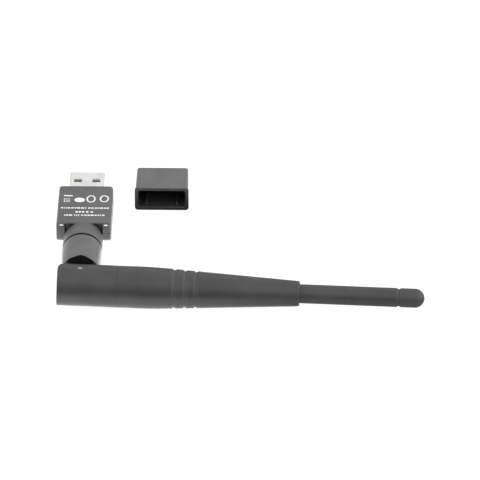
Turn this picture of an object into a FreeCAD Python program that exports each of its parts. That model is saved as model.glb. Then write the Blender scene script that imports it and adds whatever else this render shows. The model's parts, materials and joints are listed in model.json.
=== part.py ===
import FreeCAD, Part
import math
import os

# Wireless network adapter with a USB plug, a loose cap and a folding, turning antenna.
# Millimetres. +Y points out of the plug, +X along the folded antenna, +Z up.
# The origin is the centre of the plug where it leaves the housing's front face.

V = FreeCAD.Vector
X_AXIS = V(1, 0, 0)
Y_AXIS = V(0, 1, 0)
Z_AXIS = V(0, 0, 1)

# USB plug, standard type A sizes
plug_w = 12.0
plug_h = 4.5
plug_len = 12.0
plug_back = 6.0
sheet = 0.3
window_w = 2.6
window_len = 2.0
window_x = 3.1
window_y = 6.6
contact_w = 1.0
contact_z0 = -0.35
contact_z1 = -0.11

# housing
house_w = 18.2
house_h = 8.4
house_len = 23.7
house_wall = 1.2
house_corner = 1.2
tail_rise = 1.6
tail_run = 2.4
cavity_len = 20.3
parting_z = 0.0

# round boss at the tail, and the journal inside it
boss_root_half_w = 5.7
boss_r = 6.6
boss_side_y = -27.5
boss_side_half_h = 5.2
seam_y = -34.0
boss_full_y = -32.6
pocket_half_w = 6.3
pocket_z0 = -0.6
pocket_z1 = 3.55
pocket_depth = 2.1
ear_bead_r = 0.28
ear_bead_z = 3.15
journal_r = 3.0
flange_r = 4.2
flange_y0 = -29.95
flange_y1 = -28.95
washer_t = 0.55
groove_y0 = -30.02
groove_y1 = -28.32
stop_r = 5.0
stop_half_deg = 10.0
swivel_travel_deg = 184.2

# swivel collar and its tongue
collar_gap = 0.85
hub_r = 5.3
hub_clear = 0.12
pin_x = 0.0
pin_y = -55.9
shoulder_r = 7.45
shoulder_peak = 8.1
fold_clear_y = 7.1
tongue_t = 3.2
tongue_half_w = 4.2
tongue_r = 4.4
raceway_h = 1.7
coax_bore_r = 0.9

# hinge pin
pin_r = 1.0
pin_z0 = -6.55
pin_z1 = 6.72

# antenna, measured along its own axis from where it crosses the collar's axis
shank_r = 6.9
knuckle_end_r = 7.35
knuckle_len = 12.3
slot_gap = 0.05
slot_edge = 4.35
slot_r = 4.55
spigot_r = 5.3
spigot_len = 6.0
taper_start = 19.0
taper_full = 29.5
taper_full_r = 6.6
sleeve_end = 72.2
sleeve_end_r = 4.15
sleeve_wall = 1.4
ring_grooves = (31.05, 34.6, 38.15)
ring_groove_r = 0.55
ring_groove_depth = 0.35
whip_r = 3.14
whip_bore_r = 2.2
whip_back = 60.0
tip_seam = 104.7
tip_end = 113.2

# radiating element inside the antenna
coax_r = 0.57
core_r = 0.32
choke_r = 2.6
choke_wall = 0.3
choke_start = 27.0
choke_end = 55.0
wire_r = 0.4
coil_start = 74.0
coil_turns = 5
coil_pitch = 1.5
coil_r = 1.4
wire_end = 103.0

# how the adapter lies: the antenna is folded to the side and its tip droops to the table
rest_turn_deg = 2.1
table_z = -7.6

# cap
cap_w = 18.2
cap_h = 8.6
cap_len = 14.1
cap_wall = 1.1
cap_corner = 1.1
cap_lip = 0.5
cap_lip_len = 1.2
cap_x = 25.2
cap_mouth_y = 3.93


def box(x0, x1, y0, y1, z0, z1):
    return Part.makeBox(x1 - x0, y1 - y0, z1 - z0, V(x0, y0, z0))


def cyl_x(r, x0, x1, y=0.0, z=0.0):
    return Part.makeCylinder(r, x1 - x0, V(x0, y, z), X_AXIS)


def cyl_y(r, y0, y1, x=0.0, z=0.0):
    return Part.makeCylinder(r, y1 - y0, V(x, y0, z), Y_AXIS)


def cyl_z(r, z0, z1, x=0.0, y=0.0):
    return Part.makeCylinder(r, z1 - z0, V(x, y, z0), Z_AXIS)


def fuse_all(shapes):
    joined = shapes[0]
    for s in shapes[1:]:
        joined = joined.fuse(s)
    return joined.removeSplitter()


def along_y(e):
    d = e.Vertexes[-1].Point.sub(e.Vertexes[0].Point)
    return abs(d.x) < 1e-6 and abs(d.z) < 1e-6


def rounded_bar(w, h, r, y0, y1, x=0.0, z=0.0):
    """A bar along Y with four rounded long edges."""
    bar = box(x - w / 2, x + w / 2, y0, y1, z - h / 2, z + h / 2)
    return bar.makeFillet(r, [e for e in bar.Edges if along_y(e)])


def sector(r, y0, y1, deg0, deg1):
    """A pie slice round the Y axis, with angles counted from +Z towards +X."""
    pie = Part.makeCylinder(r, y1 - y0, V(0, y0, 0), Y_AXIS, deg1 - deg0)
    mid = (deg0 + deg1) / 2
    c = pie.CenterOfMass
    now = math.degrees(math.atan2(c.x, c.z))
    pie.rotate(V(0, 0, 0), Y_AXIS, mid - now)
    return pie


def usb_shell():
    """Folded steel shell with four latch windows, a fold seam below and two board tabs."""
    outer = rounded_bar(plug_w, plug_h, 0.7, -plug_back, plug_len)
    inner = rounded_bar(plug_w - 2 * sheet, plug_h - 2 * sheet, 0.4, -plug_back - 1, plug_len + 1)
    shell = outer.cut(inner)
    for sx in (-1, 1):
        x = sx * window_x
        y0 = window_y - window_len / 2
        y1 = window_y + window_len / 2
        shell = shell.cut(box(x - window_w / 2, x + window_w / 2, y0, y1, -3, 3))
    shell = shell.cut(box(-0.04, 0.04, -plug_back - 1, plug_len + 1, -3, -1))
    tabs = [shell]
    for sx in (-1, 1):
        x0 = min(sx * (plug_w / 2), sx * (plug_w / 2 - sheet))
        tabs.append(box(x0, x0 + sheet, -9.0, -plug_back, -1.5, 0.6))
    return fuse_all(tabs)


def usb_insulator():
    """Tongue that carries the contacts, with the block that fills the back of the shell."""
    half = plug_w / 2 - sheet - 0.03
    low = -plug_h / 2 + sheet + 0.03
    tongue = box(-half, half, -plug_back, plug_len - 0.9, low, -0.1)
    nose = [e for e in tongue.Edges if abs(e.CenterOfMass.y - (plug_len - 0.9)) < 1e-6]
    tongue = tongue.makeChamfer(0.35, nose)
    block = box(-half, half, -plug_back, -0.6, low, -low)
    body = tongue.fuse(block)
    body = body.makeFillet(0.35, [e for e in body.Edges if along_y(e) and abs(abs(e.CenterOfMass.x) - half) < 1e-6])
    for x, y_end in contact_places():
        slot = box(x - 0.53, x + 0.53, -plug_back - 1, y_end + 0.05, contact_z0 - 0.02, 0.0)
        body = body.cut(slot)
        tunnel = box(x - 0.53, x + 0.53, -plug_back - 1, 0, contact_z0 - 0.02, contact_z1 + 0.02)
        body = body.cut(tunnel)
    return body.removeSplitter()


def contact_places():
    return ((-3.5, 9.9), (-1.0, 8.9), (1.0, 8.9), (3.5, 9.9))


def usb_contact(i):
    """Gilt strip that lies in the tongue and runs back to its pad on the board."""
    x, y_end = contact_places()[i]
    strip = box(x - contact_w / 2, x + contact_w / 2, -8.0, y_end, contact_z0, contact_z1)
    nose = [e for e in strip.Edges if abs(e.CenterOfMass.y - y_end) < 1e-6 and abs(e.CenterOfMass.z - contact_z1) < 1e-6]
    return strip.makeFillet(0.15, nose)


board_top = -0.37
board_bottom = -1.17
board_half_w = 7.6
board_y0 = -20.0
board_y1 = -6.4
lead_hole_x = 1.2
lead_hole_y = -17.4


def circuit_board():
    """Board with two slots for the shell's tabs and a plated hole for the antenna lead."""
    plate = box(-board_half_w, board_half_w, board_y0, board_y1, board_bottom, board_top)
    corners = [e for e in plate.Edges if abs(e.Length - (board_top - board_bottom)) < 1e-6]
    plate = plate.makeFillet(0.6, corners)
    for sx in (-1, 1):
        x = sx * (plug_w / 2 - sheet / 2)
        plate = plate.cut(box(x - 0.25, x + 0.25, -9.2, board_y1 + 1, board_bottom - 1, board_top + 1))
    return plate.cut(cyl_z(0.45, board_bottom - 1, board_top + 1, lead_hole_x, lead_hole_y))


def on_board(w, l, h, x, y, r=0.12):
    part = box(x - w / 2, x + w / 2, y - l / 2, y + l / 2, board_top, board_top + h)
    upright = [e for e in part.Edges if abs(e.Length - h) < 1e-6]
    return part.makeFillet(r, upright)


def wifi_chip():
    """Flat square package with a pin-one dimple."""
    chip = on_board(6.0, 6.0, 0.85, -1.6, -13.6)
    return chip.cut(cyl_z(0.3, board_top + 0.75, board_top + 2, -3.8, -11.4))


def crystal_can():
    lid = on_board(3.2, 2.5, 0.75, 4.9, -11.4, 0.4)
    top = [e for e in lid.Edges if abs(e.CenterOfMass.z - (board_top + 0.75)) < 1e-6]
    return lid.makeFillet(0.15, top)


def voltage_regulator():
    """Small moulded package with three legs."""
    x = -4.9
    y = -18.2
    z = board_top
    pieces = [box(x - 1.45, x + 1.45, y - 0.65, y + 0.65, z + 0.1, z + 1.1)]
    for dx, sy in ((-0.95, -1), (0.95, -1), (0.0, 1)):
        y0 = min(y + sy * 0.6, y + sy * 1.2)
        pieces.append(box(x + dx - 0.2, x + dx + 0.2, y0, y0 + 0.6, z, z + 0.15))
    return fuse_all(pieces)


def power_inductor():
    return on_board(2.5, 2.0, 1.2, 5.4, -14.9, 0.3)


def ceramic_capacitors():
    """Identical chip capacitors, one solid each."""
    places = ((-6.3, -10.6), (-6.3, -12.6), (-6.3, -14.6), (-2.0, -18.4), (-0.5, -18.4), (2.6, -10.6))
    return Part.makeCompound([on_board(0.8, 1.6, 0.8, x, y, 0.08) for x, y in places])


def swept_lead(points, r):
    """A round lead that follows a smooth line through the points."""
    line = Part.BSplineCurve()
    line.interpolate(points)
    path = Part.Wire([line.toShape()])
    start = points[0]
    way = line.tangent(line.FirstParameter)[0]
    ring = Part.Wire([Part.makeCircle(r, start, way)])
    return path.makePipeShell([ring], True, True)


def coax_board_lead():
    """Thin coaxial lead from the board to the turning joint, its core in the plated hole."""
    x = lead_hole_x
    y = lead_hole_y
    path = [V(x, y, 0.6), V(x - 0.1, y - 0.6, 1.3), V(0.6, -19.4, 1.0), V(0.1, -20.9, 0.3)]
    path += [V(0, -22.5, 0), V(0, -28.0, 0)]
    lead = swept_lead(path, coax_r)
    core = cyl_z(core_r, board_bottom - 0.1, 0.75, x, y)
    return lead.fuse(core).removeSplitter()


def boss_section(half_w, half_h, y):
    """Cross-section of the boss: an ellipse that turns into the full circle."""
    if half_w - half_h < 0.001:
        return Part.Wire(Part.Circle(V(0, y, 0), Y_AXIS, half_w).toShape())
    return Part.Wire(Part.Ellipse(V(half_w, y, 0), V(0, y, half_h), V(0, y, 0)).toShape())


def boss_blank():
    """Boss that grows from the tail wall into the full round of the turning joint."""
    root = house_h / 2
    sections = [boss_section(boss_root_half_w - 0.5, root - 0.6, -house_len + pocket_depth + 0.1)]
    sections.append(boss_section(boss_root_half_w, root, -house_len))
    sections.append(boss_section(boss_r, boss_side_half_h, boss_side_y))
    sections.append(boss_section(boss_r, boss_r, boss_full_y))
    grown = Part.makeLoft(sections, True, True)
    return grown.fuse(cyl_y(boss_r, seam_y, boss_full_y))


def tail_pockets():
    """Dark hollows on both sides of the boss, between it and the ribbed tail ears."""
    w = pocket_half_w
    return box(-w, w, -house_len - 1, -house_len + pocket_depth, pocket_z0, pocket_z1)


def housing_blank():
    w = house_w
    bar = rounded_bar(w, house_h, house_corner, -house_len, 0)
    ends = [e for e in bar.Edges if abs(e.CenterOfMass.y) < 1e-6 or abs(e.CenterOfMass.y + house_len) < 1e-6]
    bar = bar.makeFillet(0.45, ends)
    low = -house_h / 2
    cut = [V(0, -house_len + tail_run, low - 0.01), V(0, -house_len - 1, low - 0.01)]
    cut += [V(0, -house_len - 1, low + tail_rise * (tail_run + 1) / tail_run)]
    slope = Part.Face(Part.makePolygon(cut + [cut[0]])).extrude(V(24, 0, 0))
    slope.translate(V(-12, 0, 0))
    bar = bar.cut(slope).cut(tail_pockets())
    for i in range(6):
        z = 2.5 - 0.85 * i
        for sx in (-1, 1):
            x0 = min(sx * 6.6, sx * 10)
            rib = box(x0, x0 + 3.4, -house_len - 1, -house_len + 0.15, z, z + 0.3)
            bar = bar.cut(rib)
    for sx in (-1, 1):
        x0 = min(sx * 6.6, sx * 8.1)
        bar = bar.fuse(cyl_x(ear_bead_r, x0, x0 + 1.5, -house_len, ear_bead_z))
    return bar.fuse(boss_blank()).removeSplitter()


def housing_hollow():
    """Everything inside the housing: board bay, plug opening, journal bore and stop track."""
    bay = rounded_bar(house_w - 2 * house_wall, house_h - 2 * house_wall, 0.6, -cavity_len, -house_wall)
    mouth = rounded_bar(plug_w + 0.06, plug_h + 0.06, 0.7, -house_wall - 1, 1)
    lead_hole = cyl_y(1.6, groove_y1 - 0.5, -cavity_len + 1)
    journal = cyl_y(journal_r + 0.05, seam_y - 1, groove_y1)
    groove = cyl_y(flange_r + 0.1, groove_y0, groove_y1)
    span = swivel_travel_deg / 2 + stop_half_deg + 0.5
    track = sector(stop_r + 0.1, flange_y0 - 0.07, flange_y1 + 0.07, -span, span)
    return fuse_all([bay, mouth, lead_hole, journal, groove, track])


def housing_half(upper):
    z0 = parting_z if upper else -20.0
    z1 = 20.0 if upper else parting_z
    half = housing_blank().cut(housing_hollow())
    half = half.common(box(-20, 20, -60, 20, z0, z1))
    supports = []
    inner = house_h / 2 - house_wall
    for sx in (-1, 1):
        for y in (-10.5, -17.5):
            x = sx * (board_half_w + 0.15)
            foot_z = (board_top + 0.02, inner + 0.2) if upper else (-inner - 0.2, board_bottom - 0.02)
            xa = min(x - sx * 0.9, x + sx * 0.35)
            post = box(xa, xa + 1.25, y - 0.8, y + 0.8, foot_z[0], foot_z[1])
            supports.append(post)
    bay = box(-house_w / 2 + 0.5, house_w / 2 - 0.5, -22, 0, z0, z1)
    supports = [s.common(bay) for s in supports]
    return fuse_all([half] + supports)


def friction_washer():
    """Springy washer that keeps the antenna where it's put."""
    y0 = flange_y1 + 0.02
    return cyl_y(flange_r - 0.05, y0, y0 + washer_t).cut(cyl_y(1.7, y0 - 1, y0 + 2))


def shoulder_space():
    """Room for the antenna's foot as it folds, with a shallow peak over the hinge pin."""
    y1 = pin_y + shoulder_r
    round_cut = cyl_z(shoulder_r, -10, 10, pin_x, pin_y)
    left_cut = box(-12, pin_x, pin_y, y1, -10, 10)
    right_cut = box(pin_x, 12, pin_y - 12, pin_y + fold_clear_y, -10, 10)
    rear_cut = box(-12, 12, pin_y - 20, pin_y, -10, 10)
    roof = [V(pin_x - 2, y1 - 0.4, -10), V(pin_x - 2, y1, -10), V(pin_x, pin_y + shoulder_peak, -10)]
    roof += [V(pin_x + 2, y1 - 0.2, -10), V(pin_x + 2, y1 - 0.6, -10)]
    peak = Part.Face(Part.makePolygon(roof + [roof[0]])).extrude(V(0, 0, 20))
    peak = peak.cut(box(-12, 12, -90, 0, -tongue_t / 2 - 0.6, tongue_t / 2 + 0.6))
    return fuse_all([round_cut, left_cut, right_cut, rear_cut, peak])


def tongue():
    half_t = tongue_t / 2
    neck_y1 = pin_y + shoulder_r + 1.5
    neck = box(pin_x - tongue_half_w, pin_x + tongue_half_w, pin_y, neck_y1, -half_t, half_t)
    return neck.fuse(cyl_z(tongue_r, -half_t, half_t, pin_x, pin_y))


def raceway():
    """Slot in the tongue where the antenna lead passes round the hinge pin."""
    h = raceway_h / 2
    ring = cyl_z(tongue_r + 1, -h, h, pin_x, pin_y).cut(cyl_z(2.2, -h - 1, h + 1, pin_x, pin_y))
    right = ring.common(box(-0.9, 12, pin_y - 12, pin_y + 12, -h, h))
    return right


def swivel_collar():
    """Turning collar: flanged journal inside the housing, round body, flat hinge tongue."""
    y_top = seam_y - collar_gap
    body = cyl_y(boss_r, pin_y, y_top)
    front = [e for e in body.Edges if abs(e.CenterOfMass.y - y_top) < 1e-6 and e.Length > 10]
    body = body.makeChamfer(0.15, front)
    body = body.cut(shoulder_space())
    hub = cyl_y(hub_r, y_top - 0.5, seam_y - hub_clear)
    journal = cyl_y(journal_r, seam_y - 1, flange_y1)
    flange = cyl_y(flange_r, flange_y0, flange_y1)
    lug = sector(stop_r, flange_y0, flange_y1, lug_mid() - stop_half_deg, lug_mid() + stop_half_deg)
    lug = lug.cut(cyl_y(3.5, flange_y0 - 1, flange_y1 + 1))
    collar = fuse_all([body, hub, journal, flange, lug, tongue()])
    bore = cyl_y(coax_bore_r, pin_y + 3.0, flange_y1 + 1)
    pin_hole = cyl_z(pin_r + 0.05, -10, 10, pin_x, pin_y)
    return collar.cut(bore).cut(raceway()).cut(pin_hole).removeSplitter()


def lug_mid():
    return swivel_travel_deg / 2 - rest_turn_deg


def coax_swivel_lead():
    """Middle length of the lead, through the collar and past the hinge pin."""
    points = [V(0, -28.4, 0), V(0, -36, 0), V(0, -46, 0), V(0, pin_y + 5.2, 0)]
    points += [V(1.3, pin_y + 3.4, 0), V(2.9, pin_y + 1.9, 0)]
    return swept_lead(points, coax_r)


def hinge_pin():
    """Plain steel pin with chamfered ends, held in the knuckle's two cheeks."""
    pin = cyl_z(pin_r, pin_z0, pin_z1, pin_x, pin_y)
    ends = [e for e in pin.Edges if abs(e.Length - 2 * math.pi * pin_r) < 1e-3]
    return pin.makeChamfer(0.12, ends)


def antenna_knuckle():
    """Forked lower end of the antenna, with a spigot that holds the sleeve."""
    plan = cyl_z(knuckle_end_r, -9, 9, pin_x).fuse(box(pin_x, knuckle_len, -9, 9, -9, 9))
    plan = plan.fuse(box(pin_x - knuckle_end_r, pin_x, -9, 0, -9, 9))
    shank = cyl_x(shank_r, -9, knuckle_len).common(plan)
    shank = shank.common(box(-9, knuckle_len, -9, 9, -9, 9))
    half = tongue_t / 2 + slot_gap
    slot = box(-12, pin_x + slot_edge, -slot_edge, 12, -half, half).fuse(cyl_z(slot_r, -half, half, pin_x))
    spigot = cyl_x(spigot_r, knuckle_len - 0.5, knuckle_len + spigot_len)
    knuckle = shank.cut(slot).fuse(spigot)
    knuckle = knuckle.cut(cyl_x(1.1, 3.0, knuckle_len + spigot_len + 1))
    knuckle = knuckle.cut(cyl_x(3.6, knuckle_len, knuckle_len + spigot_len + 1))
    knuckle = knuckle.cut(cyl_z(pin_r + 0.01, -10, 10, pin_x))
    return moved_to_pin(knuckle.removeSplitter())


def moved_to_pin(shape):
    shape = shape.copy()
    shape.translate(V(0, pin_y, 0))
    return shape


def sleeve_curve(offset, s0, s1):
    """Outline of the tapered sleeve, moved inwards by offset."""
    ctrl = [V(taper_start, 0, shank_r - offset), V((taper_start + taper_full) / 2, 0, shank_r - offset)]
    ctrl.append(V(taper_full, 0, taper_full_r - offset))
    bend = Part.BezierCurve()
    bend.setPoles(ctrl)
    start = Part.makeLine(V(s0, 0, shank_r - offset), ctrl[0])
    slope = (taper_full_r - sleeve_end_r) / (sleeve_end - taper_full)
    end = V(s1, 0, taper_full_r - offset - slope * (s1 - taper_full))
    return [start, bend.toShape(), Part.makeLine(ctrl[2], end)], end


def turned(edges):
    return Part.Face(Part.Wire(edges)).revolve(V(0, 0, 0), X_AXIS, 360)


def sleeve_radius(s):
    slope = (taper_full_r - sleeve_end_r) / (sleeve_end - taper_full)
    return taper_full_r - slope * (s - taper_full)


def antenna_sleeve():
    """Tapered moulded sleeve with three finger grooves."""
    s0 = knuckle_len + 0.06
    outer, end = sleeve_curve(0, s0, sleeve_end)
    first = outer[0].Vertexes[0].Point
    edges = outer + [Part.makeLine(end, V(sleeve_end, 0, 0))]
    edges += [Part.makeLine(V(sleeve_end, 0, 0), V(s0, 0, 0)), Part.makeLine(V(s0, 0, 0), first)]
    solid = turned(edges)
    tip_edge = [e for e in solid.Edges if abs(e.CenterOfMass.x - sleeve_end) < 1e-6 and e.Length > 10]
    solid = solid.makeFillet(0.6, tip_edge)
    for s in ring_grooves:
        centre = V(s, 0, 0)
        major = sleeve_radius(s) + ring_groove_r - ring_groove_depth
        solid = solid.cut(Part.makeTorus(major, ring_groove_r, centre, X_AXIS))
    inner, inner_end = sleeve_curve(sleeve_wall, s0 - 1, whip_back)
    inner_first = inner[0].Vertexes[0].Point
    loop = inner + [Part.makeLine(inner_end, V(whip_back, 0, 0))]
    loop += [Part.makeLine(V(whip_back, 0, 0), V(s0 - 1, 0, 0)), Part.makeLine(V(s0 - 1, 0, 0), inner_first)]
    solid = solid.cut(turned(loop))
    solid = solid.cut(cyl_x(whip_r + 0.01, whip_back - 1, sleeve_end + 1))
    return moved_to_pin(solid)


def whip_sheath():
    """Slim flexible cover over the upper half of the element."""
    tube = cyl_x(whip_r, whip_back + 0.2, tip_seam).cut(cyl_x(whip_bore_r, 0, 200))
    return moved_to_pin(tube)


def tip_cap():
    """Round-ended plug that closes the sheath."""
    dome_x = tip_end - whip_r
    body = cyl_x(whip_r, tip_seam + 0.12, dome_x).fuse(Part.makeSphere(whip_r, V(dome_x, 0, 0)))
    rim = [e for e in body.Edges if abs(e.CenterOfMass.x - tip_seam - 0.12) < 1e-6 and e.Length > 10]
    body = body.makeChamfer(0.15, rim)
    body = body.fuse(cyl_x(whip_bore_r - 0.02, tip_seam - 1.2, tip_seam + 1))
    return moved_to_pin(body.removeSplitter())


def coax_antenna_lead():
    """Last length of the lead, up to the foot of the element."""
    jacket = cyl_x(coax_r, 5.6, choke_end + 0.4)
    core = cyl_x(core_r, choke_end, choke_end + 1.5)
    return moved_to_pin(jacket.fuse(core).removeSplitter())


def choke_sleeve():
    """Brass tube that forms the lower half of the sleeve dipole, crimped at its top."""
    tube = cyl_x(choke_r, choke_start, choke_end).cut(cyl_x(choke_r - choke_wall, 0, choke_end - 0.6))
    return moved_to_pin(tube.cut(cyl_x(coax_r + 0.02, 0, 100)))


def choke_spacer():
    """Soft ring that centres the choke tube in the sleeve."""
    ring = cyl_x(4.8, choke_start + 3, choke_start + 6)
    return moved_to_pin(ring.cut(cyl_x(choke_r + 0.02, 0, 100)))


def radiator_lower_wire():
    return moved_to_pin(cyl_x(wire_r, choke_end + 1.55, coil_start - 0.05, 0, 0))


def phasing_coil():
    """Wire coil between the two halves of the radiator."""
    height = coil_turns * coil_pitch
    helix = Part.makeHelix(coil_pitch, height, coil_r)
    start = V(coil_r, 0, 0)
    way = V(0, 2 * math.pi * coil_r, coil_pitch)
    ring = Part.Wire([Part.makeCircle(wire_r * 0.8, start, way)])
    coil = Part.Wire(helix.Edges).makePipeShell([ring], True, True)
    foot = cyl_x(wire_r * 0.8, -wire_r * 0.4, coil_r).fuse(Part.makeSphere(wire_r * 0.83, start))
    head = foot.copy()
    head.translate(V(0, 0, height))
    coil = coil.fuse(foot).fuse(head)
    coil.rotate(V(0, 0, 0), Y_AXIS, 90)
    coil.translate(V(coil_start + wire_r, 0, 0))
    return moved_to_pin(coil)


def radiator_upper_wire():
    start = coil_start + coil_turns * coil_pitch + 2 * wire_r + 0.05
    return moved_to_pin(cyl_x(wire_r, start, wire_end))


def cap_shell():
    """Loose cap with a slight lip at its mouth and four grip ribs inside."""
    z = table_z + cap_h / 2
    y0 = cap_mouth_y
    body = rounded_bar(cap_w - cap_lip, cap_h - cap_lip, cap_corner, y0, y0 + cap_len, cap_x, z)
    end = [e for e in body.Edges if abs(e.CenterOfMass.y - (y0 + cap_len)) < 1e-6]
    body = body.makeFillet(0.3, end)
    lip = rounded_bar(cap_w, cap_h, cap_corner, y0, y0 + cap_lip_len, cap_x, z)
    body = body.fuse(lip)
    hollow_w = cap_w - 2 * cap_wall
    hollow_h = cap_h - 2 * cap_wall
    depth = cap_len - cap_wall
    body = body.cut(rounded_bar(hollow_w, hollow_h, 0.6, y0 - 1, y0 + depth, cap_x, z))
    ribs = []
    for sx in (-1, 1):
        for sz in (-1, 1):
            x0 = cap_x + sx * (plug_w / 2 - 0.8) - 0.4
            za = z + sz * (plug_h / 2 + 0.03)
            zb = z + sz * (hollow_h / 2 + 0.1)
            ribs.append(box(x0, x0 + 0.8, y0 + 1.5, y0 + depth + 0.1, min(za, zb), max(za, zb)))
    return fuse_all([body] + ribs)


BODY_NODES = {
    "usb_shell": usb_shell,
    "usb_insulator": usb_insulator,
    "usb_contact_power": lambda: usb_contact(0),
    "usb_contact_data_minus": lambda: usb_contact(1),
    "usb_contact_data_plus": lambda: usb_contact(2),
    "usb_contact_ground": lambda: usb_contact(3),
    "circuit_board": circuit_board,
    "wifi_chip": wifi_chip,
    "crystal_can": crystal_can,
    "voltage_regulator": voltage_regulator,
    "power_inductor": power_inductor,
    "ceramic_capacitors": ceramic_capacitors,
    "coax_board_lead": coax_board_lead,
    "housing_top": lambda: housing_half(True),
    "housing_bottom": lambda: housing_half(False),
    "friction_washer": friction_washer,
    "cap_shell": cap_shell,
}

TURNING_NODES = {
    "swivel_collar": swivel_collar,
    "coax_swivel_lead": coax_swivel_lead,
    "hinge_pin": hinge_pin,
    "antenna_knuckle": antenna_knuckle,
    "antenna_sleeve": antenna_sleeve,
    "whip_sheath": whip_sheath,
    "tip_cap": tip_cap,
    "coax_antenna_lead": coax_antenna_lead,
    "choke_sleeve": choke_sleeve,
    "choke_spacer": choke_spacer,
    "radiator_lower_wire": radiator_lower_wire,
    "phasing_coil": phasing_coil,
    "radiator_upper_wire": radiator_upper_wire,
}


def save(name, shape):
    if not shape.isValid():
        print("not valid:", name)
    print(name, "solids", len(shape.Solids), "volume", round(shape.Volume, 2))
    shape.exportStep("parts/" + name + ".step")


os.makedirs("parts", exist_ok=True)
for name, make in BODY_NODES.items():
    save(name, make())
for name, make in TURNING_NODES.items():
    shape = make().copy()
    shape.rotate(V(0, 0, 0), Y_AXIS, rest_turn_deg)
    save(name, shape)
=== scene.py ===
import json
import math
import random

import bpy
import numpy as np
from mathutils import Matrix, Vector


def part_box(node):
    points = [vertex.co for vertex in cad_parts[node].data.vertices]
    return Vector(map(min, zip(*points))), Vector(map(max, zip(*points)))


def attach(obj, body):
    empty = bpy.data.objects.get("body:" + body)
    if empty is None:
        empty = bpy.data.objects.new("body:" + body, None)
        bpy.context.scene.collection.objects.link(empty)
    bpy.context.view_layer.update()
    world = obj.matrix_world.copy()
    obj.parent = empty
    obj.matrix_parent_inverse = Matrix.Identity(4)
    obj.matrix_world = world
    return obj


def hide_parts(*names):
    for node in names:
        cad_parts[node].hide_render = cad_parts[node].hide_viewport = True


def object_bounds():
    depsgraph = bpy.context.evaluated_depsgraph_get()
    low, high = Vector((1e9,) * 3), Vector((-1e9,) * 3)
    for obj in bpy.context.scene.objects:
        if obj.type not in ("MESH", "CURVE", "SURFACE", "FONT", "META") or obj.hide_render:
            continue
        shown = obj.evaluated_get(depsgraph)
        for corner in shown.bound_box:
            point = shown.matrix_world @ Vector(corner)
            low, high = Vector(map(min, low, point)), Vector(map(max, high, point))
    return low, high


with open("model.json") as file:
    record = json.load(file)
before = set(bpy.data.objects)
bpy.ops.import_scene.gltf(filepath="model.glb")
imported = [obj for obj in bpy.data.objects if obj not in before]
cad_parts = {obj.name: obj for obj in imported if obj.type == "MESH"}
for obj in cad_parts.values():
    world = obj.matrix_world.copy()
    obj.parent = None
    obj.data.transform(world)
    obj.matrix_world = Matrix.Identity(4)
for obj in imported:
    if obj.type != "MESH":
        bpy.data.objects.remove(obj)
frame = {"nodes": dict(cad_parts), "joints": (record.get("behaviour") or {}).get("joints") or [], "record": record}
cad_lo, cad_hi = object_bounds()
random.seed(11)
MM = 0.001


# ---------------------------------------------------------------- sizes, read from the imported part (in mm)
def node_box(name):
    lo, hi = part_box(name)
    return [v / MM for v in lo], [v / MM for v in hi]


joints = {j["name"]: j for j in frame["joints"]}
PIN = [v / MM for v in joints["elbow_fold"]["pos_m"]]
TURN = math.atan2(joints["elbow_fold"]["axis"][0], joints["elbow_fold"]["axis"][2])
PIN_X, PIN_Y = PIN[0] * math.cos(TURN) - PIN[2] * math.sin(TURN), PIN[1]
house_lo, house_hi = node_box("housing_top")
HALF_W = house_hi[0]
FRONT_Y = house_hi[1]
SEAM_Y = house_lo[1]
BOSS_R = house_hi[2]
PLUG_W, PLUG_Y, PLUG_H = node_box("usb_shell")[1]
cap_lo, cap_hi = node_box("cap_shell")
TABLE_Z = min(cad_lo.z / MM, cap_lo[2])

# housing: half height, tail face, and the boss's half width and half height at four places along it
HALF_H = 4.2
TAIL_Y = -23.7
BOSS_Y = (-32.6, -27.5, TAIL_Y, -21.5)
BOSS_HALF_W = (BOSS_R, BOSS_R, 5.7, 5.2)
BOSS_HALF_H = (BOSS_R, 5.2, HALF_H, 3.6)
WALL = 1.2
RIB_PITCH = 0.85
TOP_RIB_Z = 2.65
BEAD_X, BEAD_Z = 7.35, 3.15
POCKET_HALF_W = 6.3

# plug contacts: name, middle and front end
CONTACTS = (("power", -3.5, 9.9), ("data_minus", -1.0, 8.9), ("data_plus", 1.0, 8.9), ("ground", 3.5, 9.9))

# collar: front face, journal with its flange and stop lug, and the flat hinge tongue
COLLAR_Y = SEAM_Y - 0.85
SHOULDER_R = 7.45
JOURNAL_R, FLANGE_R, LUG_R = 3.0, 4.2, 5.0
FLANGE_Y = (-29.95, -28.95)
TONGUE_R, TONGUE_HALF_T = 4.4, 1.6
LEAD_R = 0.57

# antenna, measured along it from the hinge pin
FOOT_R, FOOT_END = 6.9, 7.35
SLOT_R, SLOT_HALF_T = 4.55, 1.65
SPIGOT_R, SPIGOT_END = 5.3, 18.3
PIN_R = 1.0
SLEEVE_START, SLEEVE_END = 12.315, 72.2
TAPER_START, TAPER_FULL = 19.0, 29.5
TAPER_R, SLEEVE_END_R = 6.6, 4.15
GROOVES = (31.05, 34.6, 38.15)
GROOVE_DEPTH, GROOVE_HALF_W = 0.36, 0.46
WHIP_R, WHIP_BORE_R, WHIP_START = 3.14, 2.2, 60.4
TIP_SEAM, TIP_END = 104.7, 113.2


# ---------------------------------------------------------------- rounded solids from distance fields
PAD = 0.3


def rmax(a, b, r):
    """Overlap of two distance fields, its edge rounded to radius r."""
    u = np.maximum(a + r, 0.0)
    v = np.maximum(b + r, 0.0)
    return np.minimum(np.maximum(a, b), -r) + np.sqrt(u * u + v * v)


def rmin(a, b, r):
    """Union of two distance fields, its inner corner rounded to radius r."""
    return -rmax(-a, -b, r)


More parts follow.
